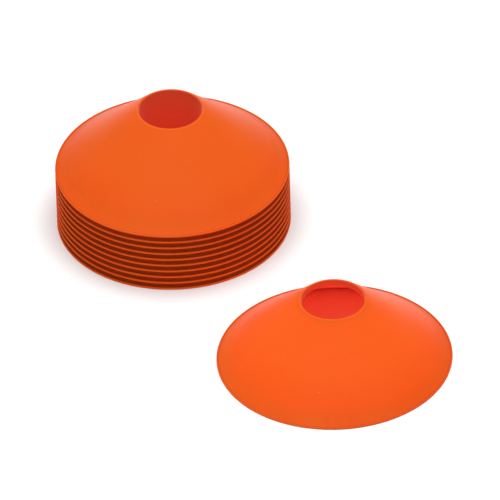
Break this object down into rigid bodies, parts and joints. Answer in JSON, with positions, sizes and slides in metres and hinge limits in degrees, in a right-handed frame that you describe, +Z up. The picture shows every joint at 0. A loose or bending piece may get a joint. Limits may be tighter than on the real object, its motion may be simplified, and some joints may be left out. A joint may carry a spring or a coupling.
{
  "type": "marker cone set",
  "caption": "Low round sports marker cones with a flared wall and an open top: a nested stack, and one cone standing by itself.",
  "frame": {"origin": "on the floor, midway between the stack's axis and the single cone's axis", "axes": "+Z up, +Y away from the viewer, +X to the viewer's right; the stack is at -X +Y and the single cone at +X -Y"},
  "size_m": [0.3161, 0.3806, 0.1111],
  "materials": {
    "cone_plastic": "satin moulded polyethylene"
  },
  "bodies": {
    "stack_cone_01": {"stack_cone_01": "cone_plastic"},
    "stack_cone_02": {"stack_cone_02": "cone_plastic"},
    "stack_cone_03": {"stack_cone_03": "cone_plastic"},
    "stack_cone_04": {"stack_cone_04": "cone_plastic"},
    "stack_cone_05": {"stack_cone_05": "cone_plastic"},
    "stack_cone_06": {"stack_cone_06": "cone_plastic"},
    "stack_cone_07": {"stack_cone_07": "cone_plastic"},
    "stack_cone_08": {"stack_cone_08": "cone_plastic"},
    "stack_cone_09": {"stack_cone_09": "cone_plastic"},
    "stack_cone_10": {"stack_cone_10": "cone_plastic"},
    "loose_cone": {"loose_cone": "cone_plastic"}
  },
  "joints": [
    {"name": "lift_stack_cone_02", "type": "slide", "parent": "stack_cone_01", "child": "stack_cone_02", "axis": [0, 0, 1], "range_m": [0, 0.06]},
    {"name": "lift_stack_cone_03", "type": "slide", "parent": "stack_cone_02", "child": "stack_cone_03", "axis": [0, 0, 1], "range_m": [0, 0.06]},
    {"name": "lift_stack_cone_04", "type": "slide", "parent": "stack_cone_03", "child": "stack_cone_04", "axis": [0, 0, 1], "range_m": [0, 0.06]},
    {"name": "lift_stack_cone_05", "type": "slide", "parent": "stack_cone_04", "child": "stack_cone_05", "axis": [0, 0, 1], "range_m": [0, 0.06]},
    {"name": "lift_stack_cone_06", "type": "slide", "parent": "stack_cone_05", "child": "stack_cone_06", "axis": [0, 0, 1], "range_m": [0, 0.06]},
    {"name": "lift_stack_cone_07", "type": "slide", "parent": "stack_cone_06", "child": "stack_cone_07", "axis": [0, 0, 1], "range_m": [0, 0.06]},
    {"name": "lift_stack_cone_08", "type": "slide", "parent": "stack_cone_07", "child": "stack_cone_08", "axis": [0, 0, 1], "range_m": [0, 0.06]},
    {"name": "lift_stack_cone_09", "type": "slide", "parent": "stack_cone_08", "child": "stack_cone_09", "axis": [0, 0, 1], "range_m": [0, 0.06]},
    {"name": "lift_stack_cone_10", "type": "slide", "parent": "stack_cone_09", "child": "stack_cone_10", "axis": [0, 0, 1], "range_m": [0, 0.06]},
    {"name": "lift_loose_cone", "type": "slide", "parent": "stack_cone_01", "child": "loose_cone", "axis": [0, 0, 1], "range_m": [0, 0.12]}
  ]
}
